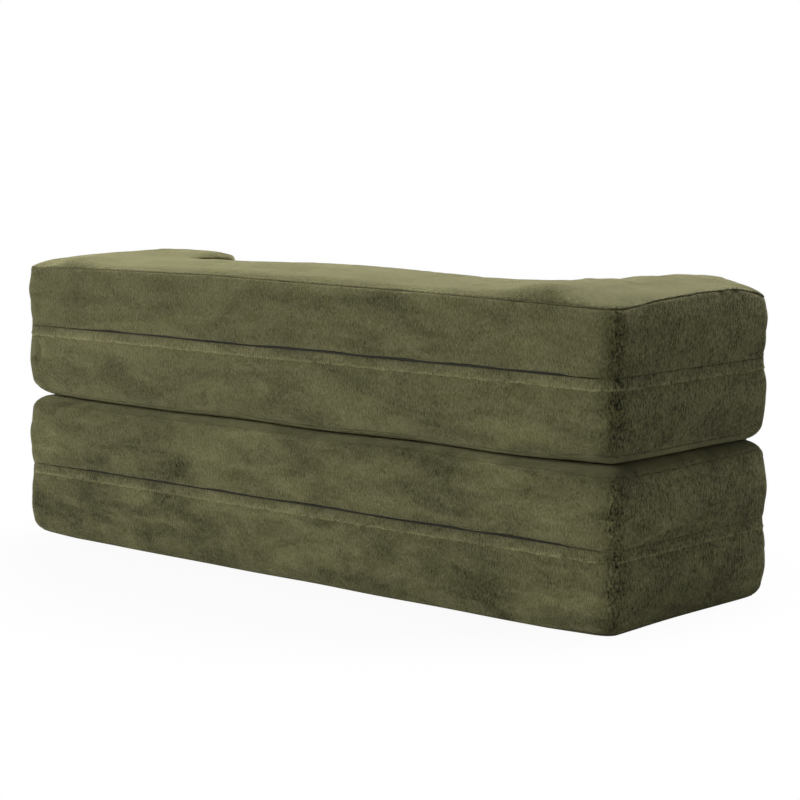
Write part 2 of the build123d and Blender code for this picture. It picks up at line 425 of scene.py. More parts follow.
def panel_rows(number):
    """Rows of points round a panel from the ring in its under face up to the one in its top face, the outward
    directions, and its two seam rows. A rounded edge has height r(1 - cos a) and inset r(1 - sin a)."""
    s = sizes()
    curved = number == 4
    base, normal = outline(0.0, curved)
    deep, _ = outline(s.face_inset, curved)
    low, high = EDGES[number]
    r_low, r_high = edge_radius(number, base)
    bottom = np.full(len(base), LOW[number])
    crown = high == "crown"
    seam = crown_seam(base) if crown else None
    lean = LEAN_BACK * np.maximum(normal[:, 1], 0) ** 2 + LEAN_END * normal[:, 0] ** 2
    wide_low, wide_high = (
        r * np.minimum(1 + lean * (kind == "open"), (s.face_inset - LEAN_ROOM) / r)
        for kind, r in ((low, r_low), (high, r_high)))
    if crown:
        gain = CROWN_GAIN * ease((np.abs(base[:, 0]) - 0.60) / 0.12)
        wide_high = CROWN_WIDE + gain - (CROWN_LOSS + gain) * inner_side(base)
    inmost = np.full(len(base), s.face_inset)

    def place(inset, height):
        """Points of the outline drawn in by an inset that may differ round it."""
        share = np.minimum(inset / s.face_inset, 1.0)[:, None]
        return np.column_stack([base + (deep - base) * share, height])

    def over(inset, a):
        """A row over the upper edge at the angle a, where it drops by its share of the edge's height."""
        row = place(inset, bottom)
        top = crest_height(row) if crown else np.full(len(row), HIGH[number])
        row[:, 2] = top - (top - seam if crown else r_high) * (1 - math.cos(a))
        return row

    swell, edge = swelling(number, normal), side_edge(number, normal)
    rows = [place(inmost, bottom)]
    for step in range(1, FACE_STEPS):
        t = step / FACE_STEPS
        rows.append(place(s.face_inset * (1 - t) + (edge + wide_low) * t, bottom))
    for step in range(KINDS[low].steps + KINDS[low].after + 1):
        a = edge_turn(low, step)
        rows.append(place(edge + wide_low * (1 - math.sin(a)), bottom + r_low * (1 - math.cos(a))))
    low_seam = FACE_STEPS + KINDS[low].steps
    z0, z1 = bottom + r_low, (seam if crown else HIGH[number] - r_high)
    for step in range(0 if KINDS[low].after else 1, SIDE_STEPS + (1 if KINDS[high].after else 0)):
        t = step / SIDE_STEPS
        full = 1 - (2 * t - 1) ** 2
        rows.append(place(edge - (s.draw + 0.10 * swell) * full, z0 + t * (z1 - z0)))
    high_seam = len(rows) + KINDS[high].after
    for step in range(KINDS[high].steps + KINDS[high].after, -1, -1):
        a = edge_turn(high, step)
        rows.append(over(edge + wide_high * (1 - math.sin(a)), a))
    for step in range(FACE_STEPS - 1, 0, -1):
        t = step / FACE_STEPS
        rows.append(over(s.face_inset * (1 - t) + (edge + wide_high) * t, 0.0))
    rows.append(over(inmost, 0.0))
    return np.array(rows), normal, low_seam, high_seam


def faces_of(rows, count):
    """Quads of a band of rows, each a closed ring of count points."""
    r, i = np.meshgrid(np.arange(rows - 1), np.arange(count), indexing="ij")
    a, b = r * count + i, r * count + (i + 1) % count
    return np.stack([a, a + count, b + count, b], -1).reshape(-1, 4)


def face_numbers(ring_start, inner_start, curved):
    """Vertex numbers of a face's grid, whose border is a ring and whose inside follows on."""
    back, right, front, left = border(curved)
    nx, ny = len(back) - 1, len(right) - 1
    grid = np.empty((ny + 1, nx + 1), int)
    grid[1:-1, 1:-1] = inner_start + np.arange((ny - 1) * (nx - 1)).reshape(ny - 1, nx - 1)
    grid[0], grid[-1] = ring_start + back, ring_start + front
    grid[:, 0], grid[:, -1] = ring_start + left, ring_start + right
    return grid


def face_quads(grid, up):
    """Quads of a face's grid, facing up or down."""
    a, b, c, d = grid[:-1, :-1], grid[1:, :-1], grid[1:, 1:], grid[:-1, 1:]
    return np.stack([a, b, c, d] if up else [a, d, c, b], -1).reshape(-1, 4)


def make_mesh(name, points, quads):
    """A mesh of quads from whole arrays."""
    mesh = bpy.data.meshes.new(name)
    mesh.vertices.add(len(points))
    mesh.vertices.foreach_set("co", np.asarray(points, np.float32).ravel())
    mesh.loops.add(quads.size)
    mesh.loops.foreach_set("vertex_index", quads.astype(np.int32).ravel())
    mesh.polygons.add(len(quads))
    mesh.polygons.foreach_set("loop_start", np.arange(0, quads.size, quads.shape[1], dtype=np.int32))
    mesh.polygons.foreach_set("use_smooth", np.ones(len(quads), bool))
    mesh.update(calc_edges=True)
    mesh.validate()
    piece = bpy.data.objects.new(name, mesh)
    bpy.context.scene.collection.objects.link(piece)
    return piece


def form_of(rows, curved, **more):
    """A closed form: its rows, and the grids of its under and top faces."""
    faces = {"under": face_grid(rows[0], curved), "over": face_grid(rows[-1], curved)}
    return {"rows": rows, "curved": curved, **faces, **more}


def closed_panel(number):
    """The whole form of one panel before its covers are parted, with its directions and its seams' rows."""
    rows, normal, *seams = panel_rows(number)
    form = form_of(rows, number == 4, normal=normal, seams=seams)
    if form["curved"]:
        over = form["over"]
        over[..., 2] = crest_height(over) + LIFT_HEIGHT * inward(over.shape[:2], LIFT_FADE)
    return form


def grids_of(form):
    """Vertex numbers of a form's under and top face."""
    stations, count = form["rows"].shape[:2]
    ny, nx = form["under"].shape[:2]
    base, curved = stations * count, form["curved"]
    return face_numbers(0, base, curved), face_numbers(base - count, base + (ny - 2) * (nx - 2), curved)


def parts_of(form):
    """All points of a form as one array, with its quads."""
    rows, (under, over) = form["rows"], grids_of(form)
    inside = [form[key][1:-1, 1:-1].reshape(-1, 3) for key in ("under", "over")]
    quads = [faces_of(*rows.shape[:2]), face_quads(under, False), face_quads(over, True)]
    return np.concatenate([rows.reshape(-1, 3), *inside]), np.concatenate(quads)


def spread_back(form, points):
    """Puts an array of moved points back into a form."""
    under, over = grids_of(form)
    shape = form["rows"].shape
    form.update(rows=points[:shape[0] * shape[1]].reshape(shape), under=points[under], over=points[over])


def soften(form, number):
    """Wrinkles along the surface: slow waves on the sides and the crown, the third panel's folds and
    the crown's creases."""
    rows, normal = form["rows"], form["normal"]
    low, high = form["seams"]
    flat = np.repeat(np.column_stack([normal, np.zeros(len(normal))])[None], len(rows), 0)
    side = np.zeros(len(rows))
    side[low:high + 1] = np.sin(np.linspace(0, np.pi, high - low + 1)) ** 0.6
    upright = rows * np.array([1.0, 1.0, UPRIGHT])
    wave = sum(height * ripple(upright, length, seed + number) for height, length, seed in SIDE_WAVES)
    if number == 3:
        for height, place, width in FOLDS:
            reach = height * (rows[..., 1] > 0.2) * bell(rows[..., 0] - place, width)
            wave += reach * ease((rows[..., 2] - 0.318) / 0.05)
    form["rows"] = rows + flat * (wave * side[:, None])[..., None]
    if number == 4:
        def crest(points):
            return WAVE_HEIGHT * ripple(points[..., :2] * np.array([0.6, 1.0]), 0.16, 81)

        form["rows"][high:, :, 2] += crest(rows[high:]) * ease(np.arange(len(rows) - high) / WAVE_FADE)[:, None]
        over = form["over"]
        over[..., 2] += crest(over)
        for line in CREASES:
            over[..., 2] += crease(over[..., :2], *line)


def crease(flat, start, end, width, depth):
    """A crease in the crown: a dip of a bell's section along a line, fading at both ends, with a low fold
    beside it."""
    a, b = np.array(start), np.array(end)
    length = np.linalg.norm(b - a)
    way = (b - a) / length
    along = (flat - a) @ way / length
    across = (flat - a) @ np.array([-way[1], way[0]])
    fade = ease(along / 0.25) * ease((1 - along) / 0.25)
    return fade * depth * (0.6 * bell(across - 1.9 * width, 1.5 * width) - bell(across, width))


def limits(number, points):
    """Holds a panel's points inside the room that it has between its neighbours and its hinges."""
    low = LOW[number] + (FLOOR_ROOM if number == 1 else 0.0)
    points[:, 2] = np.clip(points[:, 2], low, HIGH[number] if number < 4 else CROWN_TOP)
    points[:, 1] = np.clip(points[:, 1], HINGE_ROOM - PIVOT, PIVOT - HINGE_ROOM)
    return points


def fill(form, number):
    """Presses the cover out with Blender's cloth, sewn along its seams, and holds the movement. Only what can
    move takes part: the side strip, and on the top panel the crown."""
    s = sizes()
    points, quads = parts_of(form)
    under, over = grids_of(form)
    stations, count = form["rows"].shape[:2]
    low, high = form["seams"]
    free, held = np.zeros(len(points), bool), np.zeros(len(points), bool)
    free[low * count:(high + 1) * count] = True
    if number == 4:
        free[high * count:] = True
        free[stations * count:][:under[1:-1, 1:-1].size] = False
    held[low * count:(low + 1) * count] = True
    held[high * count:(high + 1) * count] = True
    used = quads[free[quads].all(1)]
    start = points[free]
    cloth = make_mesh(f"cloth_{number}", start, (np.cumsum(free) - 1)[used])
    cloth.vertex_groups.new(name="sewn").add(np.flatnonzero(held[free]).tolist(), 1.0, "REPLACE")
    press = cloth.modifiers.new("filling", "CLOTH")
    for key, value in CLOTH.items():
        setattr(press.settings, key, value)
    press.settings.uniform_pressure_force = s.pressure
    press.settings.effector_weights.gravity = 0.0
    press.collision_settings.use_self_collision = False
    press.collision_settings.use_collision = False
    scene = bpy.context.scene
    for step in range(1, s.steps + 1):
        scene.frame_set(step)
    shaped = cloth.evaluated_get(bpy.context.evaluated_depsgraph_get())
    moved = np.empty(len(start) * 3, np.float32)
    shaped.data.vertices.foreach_get("co", moved)
    shift = moved.reshape(-1, 3).astype(float) - start
    length = np.linalg.norm(shift, axis=1, keepdims=True)
    move = np.zeros_like(points)
    move[free] = shift * s.swell * np.tanh(length / s.swell) / np.maximum(length, TINY)
    if number == 4:
        lift = np.zeros(len(points))
        lift[free] = shift[:, 2]
        move[over[1:-1, 1:-1], 2] += wrinkles(lift[over])[1:-1, 1:-1]
    bpy.data.objects.remove(cloth)
    scene.frame_set(1)
    spread_back(form, limits(number, points + move))


def wrinkles(lift, reach=7):
    """The fine part of the crown's simulated lift: the lift less its mean over a square of neighbours,
    fading out at the ring."""
    size = 2 * reach + 1
    sums = np.cumsum(np.cumsum(np.pad(np.pad(lift, reach, mode="edge"), ((1, 0), (1, 0))), 0), 1)
    mean = (sums[size:, size:] - sums[:-size, size:] - sums[size:, :-size] + sums[:-size, :-size]) / size ** 2
    return np.clip(lift - mean, -WRINKLE_HEIGHT, WRINKLE_HEIGHT) * inward(lift.shape, WRINKLE_FADE)


def tuck(seam, towards, normal, roll, depth):
    """Four rows that turn a cover's edge into its seam: a small roll, and then straight in. seam is the seam
    row, towards the direction back along the cover."""
    out, along = np.column_stack([normal, np.zeros(len(normal))]), unit(towards)
    roll = np.broadcast_to(roll, len(seam))[:, None]
    rows = [seam + along * roll * a - out * roll * b for a, b in TUCK]
    return [*rows, seam + along * roll * 0.16 - out * (roll + depth)]


def split_covers(form, number):
    """The covers of a panel as (rows, face): under cover, side strip and top cover, with their edges tucked
    into the seams, and over a zip's tape a slit under a fuller lip."""
    rows, normal = form["rows"], form["normal"]
    low, high = form["seams"]
    uneven = 1 + 0.22 * ripple(rows[high], 0.05, 90 + number)
    (low_roll, low_depth), (high_roll, high_depth) = (
        (KINDS[e].roll * uneven, KINDS[e].depth) for e in EDGES[number])
    slit, lip = np.zeros(rows.shape[1]), np.zeros(rows.shape[1])
    if number == 4:
        high_roll = high_roll * (1 - 0.62 * ease((rows[high][:, 0] - 0.20) / 0.35) * (normal[:, 1] > 0.5))
    if number in (2, 4):
        x, back = rows[low][:, 0], rows[low][:, 1] > 0.22
        wide = 0.0021 + 0.0012 * ease((0.30 - x) / 0.35)
        slit = ease((0.666 - x) / 0.130) * ease((x + 0.666) / 0.030) * back
        slit *= np.clip(wide * (1 + 0.30 * ripple(rows[low][:, :1], 0.20, 5 + number)), *SLIT_ROOM)
        lip = 0.0014 * back * ease((x + 0.735) / 0.03) * ease((0.70 - x) / 0.30)
    up = rows[low + 1] - rows[low]
    raised = rows[low] + unit(up) * slit[:, None]
    side = rows[low + 1:high].copy()
    side[0] = np.where((slit > 0.0005)[:, None], raised + (rows[low + 2] - raised) * 0.5, side[0])
    base = [*rows[:low], *tuck(rows[low], rows[low - 1] - rows[low], normal, low_roll, low_depth)]
    foot = tuck(raised, up, normal, low_roll + lip, low_depth)[::-1]
    head = tuck(rows[high], rows[high - 1] - rows[high], normal, high_roll, high_depth)
    top = tuck(rows[high], rows[high + 1] - rows[high], normal, high_roll, high_depth)[::-1]
    return {
        "base_cover": (np.array(base), "under"),
        "side_cover": (np.array([*foot, *side, *head]), None),
        "top_cover": (np.array([*top, *rows[high + 1:]]), "over"),
    }


def cover_piece(name, rows, form, face):
    """One cover as a sheet: its band of rows, closed by a face where it has one, with its thickness inwards."""
    count = rows.shape[1]
    points, quads = [rows.reshape(-1, 3)], [faces_of(len(rows), count)]
    if face:
        ring = 0 if face == "under" else (len(rows) - 1) * count
        points.append(form[face][1:-1, 1:-1].reshape(-1, 3))
        quads.append(face_quads(face_numbers(ring, len(rows) * count, form["curved"]), face == "over"))
    piece = make_mesh(name, np.concatenate(points), np.concatenate(quads))
    wall = piece.modifiers.new("cover", "SOLIDIFY")
    wall.thickness = sizes().cover
    wall.offset = -1.0
    return piece


# Materials.

class Reading:
    """One socket whose arithmetic adds Math nodes to its tree."""

    def __init__(self, tree, socket):
        self.tree, self.socket = tree, socket

    def _math(self, operation, *values):
        node = self.tree.nodes.new("ShaderNodeMath")
        node.operation = operation
        for slot, value in zip(node.inputs, values):
            feed(self.tree, slot, value)
        return Reading(self.tree, node.outputs[0])

    def __add__(self, other):
        return self._math("ADD", self, other)

    def __sub__(self, other):
        return self._math("SUBTRACT", self, other)

    def __rsub__(self, other):
        return self._math("SUBTRACT", other, self)

    def __mul__(self, other):
        return self._math("MULTIPLY", self, other)

    __radd__, __rmul__ = __add__, __mul__

    def size(self):
        """The value without its sign."""
        return self._math("ABSOLUTE", self)

    def _through(self, kind, output=0):
        """The value after a node with one input."""
        node = self.tree.nodes.new(kind)
        self.tree.links.new(self.socket, node.inputs[0])
        return Reading(self.tree, node.outputs[output])

    def along(self, axis):
        """One part of a vector."""
        return self._through("ShaderNodeSeparateXYZ", axis)

    def held(self):
        """The value kept from 0 to 1."""
        return self._through("ShaderNodeClamp")


def feed(tree, socket, value):
    """Links a reading to a socket, or sets the socket's own value."""
    if isinstance(value, Reading):
        tree.links.new(value.socket, socket)
    elif hasattr(value, "__len__") and len(value) == 3 and socket.type == "RGBA":
        socket.default_value = (*value, 1.0)
    else:
        socket.default_value = value


def pick(sockets, key):
    """A socket by its number, identifier or name."""
    return sockets[key] if isinstance(key, int) else next(x for x in sockets if key in (x.identifier, x.name))


class Nodes:
    """A node tree under construction, with its output node."""

    def __init__(self, tree, end):
        self.tree = tree
        tree.nodes.clear()
        self.end = tree.nodes.new(end)

    def node(self, kind, settings=None, values=None, output=0):
        """A node of any type: its settings first, then the values or links of its sockets. Gives one output."""
        node = self.tree.nodes.new(kind)
        for key, value in (settings or {}).items():
            setattr(node, key, value)
        for key, value in (values or {}).items():
            feed(self.tree, pick(node.inputs, key), value)
        return Reading(self.tree, pick(node.outputs, output))

    def seen(self):
        """1 for what the camera sees, also by a reflection or through glass, and 0 for other rays."""
        kinds = ("Camera", "Glossy", "Transmission")
        camera, glossy, through = (self.node("ShaderNodeLightPath", output=f"Is {kind} Ray") for kind in kinds)
        return (camera + glossy + through).held()

    def end_mixed(self, share, a, b):
        """Ends the tree with shader a turning into shader b."""
        mixed = self.node("ShaderNodeMixShader", {}, {0: share, 1: a, 2: b})
        feed(self.tree, self.end.inputs["Surface"], mixed)


class Finish(Nodes):
    """A material under construction."""

    def __init__(self, name):
        self.material = bpy.data.materials.new(name)
        self.material.use_nodes = True
        super().__init__(self.material.node_tree, "ShaderNodeOutputMaterial")
        self.surface = self.tree.nodes.new("ShaderNodeBsdfPrincipled")
        self.tree.links.new(self.surface.outputs[0], self.end.inputs["Surface"])

    def place(self, stretch=(1, 1, 1)):
        """Object coordinates, stretched."""
        where = self.node("ShaderNodeTexCoord", output="Object")
        return self.node("ShaderNodeMapping", {}, {"Vector": where, "Scale": stretch})

    def noise(self, scale, detail=2.0, rough=0.5, distort=0.0, stretch=(1, 1, 1)):
        """Noise from 0 to 1, mostly from 0.3 to 0.7."""
        values = {"Scale": scale, "Detail": detail, "Roughness": rough, "Distortion": distort}
        return self.node("ShaderNodeTexNoise", {}, {"Vector": self.place(stretch), **values}, "Fac")

    def blend(self, share, a, b):
        """Colour a turning into colour b."""
        values = {"Factor_Float": share, "A_Color": a, "B_Color": b}
        return self.node("ShaderNodeMix", {"data_type": "RGBA"}, values, "Result_Color")

    def tint(self, colour, share):
        """A colour made lighter or darker by a value."""
        return self.node("ShaderNodeVectorMath", {"operation": "SCALE"}, {0: colour, "Scale": share})

    def set(self, **values):
        """Values or links of the surface's sockets."""
        for key, value in values.items():
            feed(self.tree, self.surface.inputs[key.replace("_", " ")], value)

    def bump(self, height, strength, distance):
        """Relief from a height."""
        values = {"Strength": strength, "Distance": distance, "Height": height}
        self.set(Normal=self.node("ShaderNodeBump", {}, values))


def shaded(colour, share):
    """A colour times a number, or times one number for each of its parts."""
    return tuple(np.multiply(colour, share).tolist())


def plush_finish(name, colour, hem=False):
    """Short-pile plush: slow clouds and brushed swathes where the nap lies differently, pressed patches, and
    fine upright fibres. The end faces get painted shade and painted light specks. A ribbon gets a painted
    highlight along its lower hem, where the nap would catch the light, and painted shade towards its upper edge."""
    f = Finish(name)
    clouds = f.noise(5.0, 2.0, 0.5, 0.3)
    swathes = f.noise(10.0, 2.5, 0.5, 1.4, (0.45, 0.80, 1.50))
    patches = f.noise(32.0, 3.0, 0.62, 1.0, (0.70, 0.70, 1.70))
    tufts = f.noise(320.0, 3.0, 0.75, 0.4, (1.0, 1.0, 0.50))
    fibres = f.noise(560.0, 1.5, 0.6, 0.0, (1.0, 1.0, 0.30))
    # Noise for the painted light specks on the end faces.
    painted_glints = f.noise(250.0, 3.0, 0.8, 0.0, (1.0, 1.0, 0.45))
    x, z = (f.place().along(axis) for axis in "XZ")
    slow = 0.7 * (clouds - 0.5) + 1.3 * (swathes - 0.5) + 0.7 * (patches - 0.5)
    crown = ((z - 0.548) * 60.0).held()
    ends = ((x.size() - 0.728) * 90.0).held()
    shade = slow * (1.75 - z * 1.7 - crown * 0.45) + (tufts - 0.5) * 2.4 + (fibres - 0.5) * 1.4 + 1.0
    # Painted shade on the end faces, where the colour is darkened, with painted light specks for tufts of nap
    # catching the grazing light.
    shade = shade + ends * ((painted_glints - 0.49) * 6.0 - 0.15)
    if hem:
        across = f.node("ShaderNodeAttribute", {"attribute_name": "across"}, output="Fac")
        # Painted highlight along the ribbon's lower hem (edge), and painted shade towards its upper edge.
        edge = (1 - across * 3.2).held() * (f.noise(150.0, 2.0, 0.6) * 4.0 - 1.5).held()
        shade = shade * (1.26 - across * 0.50) + edge * 0.9
    deep, pale = shaded(colour, (0.95, 0.97, 0.84)), shaded(colour, (1.05, 1.03, 1.14))
    tone = f.blend((patches * 1.6 - 0.3).held(), deep, pale)
    f.set(
        Base_Color=f.tint(tone, shade), Roughness=((tufts - 0.5) * 0.3 + 0.88).held(), Specular_IOR_Level=0.10,
        Sheen_Weight=0.60, Sheen_Roughness=0.35, Sheen_Tint=(0.82, 0.78, 0.44))
    f.bump(tufts * 0.85 + fibres * 0.50 + patches * 0.7, 0.85, 0.0045)
    return f.material


def foam_finish(name, colour):
    """Open-cell foam: fine pores and slow yellowing."""
    f = Finish(name)
    pores, age = f.noise(900.0, 2.0, 0.7), f.noise(6.0, 2.0)
    tone = f.blend(age, shaded(colour, 0.94), colour)
    f.set(Base_Color=f.tint(tone, (pores - 0.5) * 0.4 + 1.0), Roughness=0.95)
    f.bump(pores, 0.5, 0.0012)
    return f.material


def zip_finish(name, colour, rough, weave=0.0):
    """Zip parts: woven tape, nylon coil or enamelled metal, worn a little along its length."""
    f = Finish(name)
    wear = f.noise(60.0, 3.0, 0.6, 0.0, (1.0, 4.0, 4.0))
    bands = {"wave_type": "BANDS", "bands_direction": "DIAGONAL"}
    cross = f.node("ShaderNodeTexWave", bands, {"Vector": f.place(), "Scale": 260.0, "Distortion": 1.0}, "Fac")
    f.set(
        Base_Color=f.tint(f.blend(wear, colour, shaded(colour, 1.9)), 1.0 + cross * weave),
        Roughness=((wear - 0.5) * 0.3 + rough).held(), Specular_IOR_Level=0.15)
    f.bump(cross * weave + wear * 0.4, 0.35, 0.0006)
    return f.material


FINISHES = {}


def finishes():
    """The materials, made once."""
    if not FINISHES:
        for name, kind, colour, *rest in (
            ("plush", plush_finish, "plush"),
            ("ribbon", plush_finish, "ribbon", True),
            ("thread", zip_finish, "thread", 0.8, 0.6),
            ("support_foam", foam_finish, "support"),
            ("comfort_foam", foam_finish, "comfort"),
            ("zip_tape", zip_finish, "zip", 0.85, 0.5),
            ("zip_coil", zip_finish, "zip", 0.6),
            ("zip_metal", zip_finish, "zip", 0.5),
        ):
            FINISHES[name] = kind(name, tuple(getattr(bpy.context.scene.sofa_colours, colour)), *rest)
    return FINISHES


def dress(piece, slot, body, *nodes):
    """Gives a new piece its material, its body and the CAD nodes it stands for."""
    piece.data.materials.clear()
    piece.data.materials.append(finishes()[slot])
    if body:
        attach(piece, body)
    if nodes:
        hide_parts(*nodes)
    return piece


def between(at, marks, values):
    """Rows of values read between marks."""
    return np.stack([np.interp(at, marks, column) for column in values.T], -1)


def run_length(points):
    """How far each point lies along the line through all of them."""
    return np.concatenate([[0], np.cumsum(np.linalg.norm(np.diff(points, axis=0), axis=1))])


def tube_piece(name, sections):
    """A closed skin over sections, an array of stations by profile points. A fan of the profile fills each
    end."""
    stations, around = sections.shape[:2]
    quads = np.roll(faces_of(stations, around)[:, ::-1], 1, 1)
    k = np.arange(around // 2 - 1)
    first = np.stack([k, k + 1, around - 2 - k, (around - 1 - k) % around], -1)
    last = first + (stations - 1) * around
    return make_mesh(name, sections.reshape(-1, 3), np.concatenate([quads, first[:, ::-1], last]))


def hem_shares(piece, sections):
    """Stores how far each point of a ribbon lies from its lower hem, 0, to its upper edge, 1."""
    up = sections[..., 2]
    low, high = up.min(1, keepdims=True), up.max(1, keepdims=True)
    store = piece.data.attributes.new("across", "FLOAT", "POINT")
    store.data.foreach_set("value", ((up - low) / (high - low)).astype(np.float32).ravel())


def ribbon_sections(path, normal, along, middle, near, seed, proud):
    """A ribbon's sections: a flat rounded profile on edge against the panels, thicker at its lower hem, with
    puckers that run up from there, and wider away from the hinge, where near is 1. Its outer side stands
    proud of the path by its thickness and waves in the distance along it, and its inner side is flat."""
    n, half = len(path), RIBBON_PROFILE // 2
    low, high = middle - RIBBON_BELOW, middle + RIBBON_ABOVE + 0.0024 * near
    thick = (RIBBON_THICK + 0.0014 * near)[:, None]
    proud = np.broadcast_to(np.asarray(proud, float).reshape(-1, 1), (n, 1))
    t = np.linspace(0, 1, half)[None]
    s = along[:, None]
    fine = np.sin(2 * np.pi * s / 0.0085 + 1.3 * ripple(s, 0.06, seed)[:, None])
    slow = ripple(np.column_stack([along, np.zeros(n)]), 0.045, seed + 1)[:, None]
    hem = bell(t - 0.10, 0.16)
    body = thick * (0.62 - 0.34 * t + 0.45 * hem)
    waves = 0.00032 * fine * (0.35 + hem) + 0.00042 * slow * (1 - 0.5 * t)
    outer = proud + body + waves * ease(np.minimum(t, 1 - t) * 5 + 0.25)
    height = low + (high - low)[:, None] * t + (0.00055 * fine * (1 - t) ** 2 + 0.0006 * slow * (1 - t))
    edge = np.array([0.45] + [1.0] * (half - 2) + [0.45])
    inner = np.repeat(proud, half, 1) + 0.0001
    out = np.concatenate([proud + (outer - proud) * edge, inner[:, ::-1]], 1)
    up = np.concatenate([height, height[:, ::-1]], 1)
    return np.stack([path[:, :1] + normal[:, :1] * out, path[:, 1:] + normal[:, 1:] * out, up], -1)


def foam_rows(number, lowest, highest):
    """Rows round one foam layer: the panel's rounded edges drawn in, and a sharp edge where the two layers
    are glued."""
    s = sizes()
    gap = s.cover + FOAM_GAP
    (base, normal), (near, _), (deep, _) = (
        outline(inset, number == 4) for inset in (0.0, s.draw + gap, s.face_inset))
    glued = np.full(len(base), GLUED_EDGE)
    own_low, own_high = lowest.z - LOW[number] < 0.01, HIGH[number] - highest.z < 0.01
    r_low, r_high = (
        np.maximum(r - gap * 0.4, 0.004) if own else glued
        for r, own in zip(edge_radius(number, base), (own_low, own_high)))
    bottom = np.full(len(base), LOW[number] + gap if own_low else lowest.z)
    top = np.full(len(base), HIGH[number] - gap if own_high else highest.z)
    wide = r_high
    if own_high and EDGES[number][1] == "crown":
        top = np.minimum(crest_height(base) - CROWN_FOAM, crown_seam(base) - 0.004)
        r_high, wide = np.full(len(base), 0.012), np.full(len(base), 0.030)
    rows = [np.column_stack([deep, bottom])]
    for up in (False, True):
        r, w = (r_high, wide) if up else (r_low, r_low)
        for step in range(FOAM_STEPS + 1):
            a = math.radians(90 * (FOAM_STEPS - step if up else step) / FOAM_STEPS)
            rise = r * (1 - math.cos(a))
            flat = near - normal * (w * (1 - math.sin(a)))[:, None]
            rows.append(np.column_stack([flat, top - rise if up else bottom + rise]))
    return np.array([*rows, np.column_stack([deep, top])])


class SOFA_OT_foam(bpy.types.Operator):
    """Makes the two foam layers of every panel"""

    bl_idname = "sofa.foam"
    bl_label = "Foam layers"

    def execute(self, context):
        for number in EDGES:
            for layer in ("support_foam", "comfort_foam"):
                node = f"panel_{number}_{layer}"
                form = form_of(foam_rows(number, *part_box(node)), number == 4)
                if number == 4 and layer == "support_foam":
                    over = form["over"]
                    over[..., 2] = np.minimum(over[..., 2], crest_height(over) - CROWN_FOAM)
                piece = make_mesh(f"{node}_block", *parts_of(form))
                dress(piece, layer, f"panel_{number}", node)
        return {"FINISHED"}


FORMS = {}


class SOFA_OT_covers(bpy.types.Operator):
    """Makes the under cover, side strip and top cover of every panel"""

    bl_idname = "sofa.covers"
    bl_label = "Plush covers"

    def execute(self, context):
        for number in EDGES:
            form = closed_panel(number)
            soften(form, number)
            fill(form, number)
            FORMS[number] = form
            for cover, (rows, face) in split_covers(form, number).items():
                node = f"panel_{number}_{cover}"
                piece = cover_piece(f"{node}_cloth", rows, form, face)
                dress(piece, "plush", f"panel_{number}", node)
        return {"FINISHED"}


class SOFA_OT_stitches(bpy.types.Operator):
    """Makes the stitches beside the seam under the top panel's crown"""

    bl_idname = "sofa.stitches"
    bl_label = "Seam stitches"

    def execute(self, context):
        rows, seam = FORMS[4]["rows"], FORMS[4]["seams"][1]
        ring, above = (np.vstack([row, row[:1]]) for row in rows[seam:seam + 2])
        along = run_length(ring)
        count = int(along[-1] / STITCH_PITCH)
        bow = np.linspace(-1, 1, STITCH_STEPS)
        at = (np.arange(count) * along[-1] / count)[:, None] + STITCH_HALF * bow[None]
        foot, head = (between(at % along[-1], along, row) for row in (ring, above))
        up, way = unit(head - foot), unit(np.gradient(foot, axis=1))
        out = np.cross(up, way)
        centre = foot + up * 0.0036 - out * (0.0002 + 0.0008 * bow[None, :, None] ** 2)
        turn = np.linspace(0, 2 * np.pi, STITCH_SIDES + 1)[:-1, None]
        wide = STITCH_THICK * np.sqrt(np.maximum(1 - 0.85 * bow ** 4, 0.05))[None, :, None, None]
        around = np.cos(turn) * up[:, :, None] + np.sin(turn) * out[:, :, None]
        points = (centre[:, :, None] + wide * around).reshape(-1, 3)
        caps = np.array([[0, 1, 2, 3], [0, 3, 4, 5], [27, 26, 25, 24], [29, 28, 27, 24]])
        one = np.concatenate([faces_of(STITCH_STEPS, STITCH_SIDES), caps])
        quads = (one[None] + STITCH_STEPS * STITCH_SIDES * np.arange(count)[:, None, None]).reshape(-1, 4)
        dress(make_mesh("panel_4_seam_stitches", points, quads), "thread", "panel_4")
        return {"FINISHED"}


class SOFA_OT_ribbons(bpy.types.Operator):
    """Makes the ribbons round the ends and front, under each zip"""

    bl_idname = "sofa.ribbons"
    bl_label = "Ribbons"

    def execute(self, context):
        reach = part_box("lower_back_hinge_lower_leaf")[1].x
        points, normal = outline(0.0, False)
        keep = ~((points[:, 1] > 0.2) & (np.abs(points[:, 0]) < reach - 0.001))
        order = np.roll(np.arange(len(points)), -int(np.flatnonzero(keep & ~np.roll(keep, 1))[0]))
        order = order[keep[order]]
        first, last = [reach - 0.0006, HALF_DEPTH], [0.0006 - reach, HALF_DEPTH]
        path = np.array([first, *points[order], last])
        out = np.array([[0.0, 1.0], *normal[order], [0.0, 1.0]])
        fine, marks = np.linspace(0, len(path) - 1, len(path) * 3), np.arange(len(path))
        path, out = between(fine, marks, path), unit(between(fine, marks, out))
        along = run_length(path)
        near = ease(np.minimum(along, along[-1] - along) / 0.06)
        for number, hinge in ((1, "lower"), (3, "upper")):
            middle = HINGE_HEIGHT[hinge]
            proud = near * (0.0002 - side_edge(number, out)) - RIBBON_SUNK * (1 - near)
            sections = ribbon_sections(path, out, along, middle, near, 300 + number, proud)
            name = f"panel_{number}_ribbon"
            piece = tube_piece(f"{name}_cloth", sections)
            hem_shares(piece, sections)
            dress(piece, "ribbon", f"panel_{number}", name)
        return {"FINISHED"}


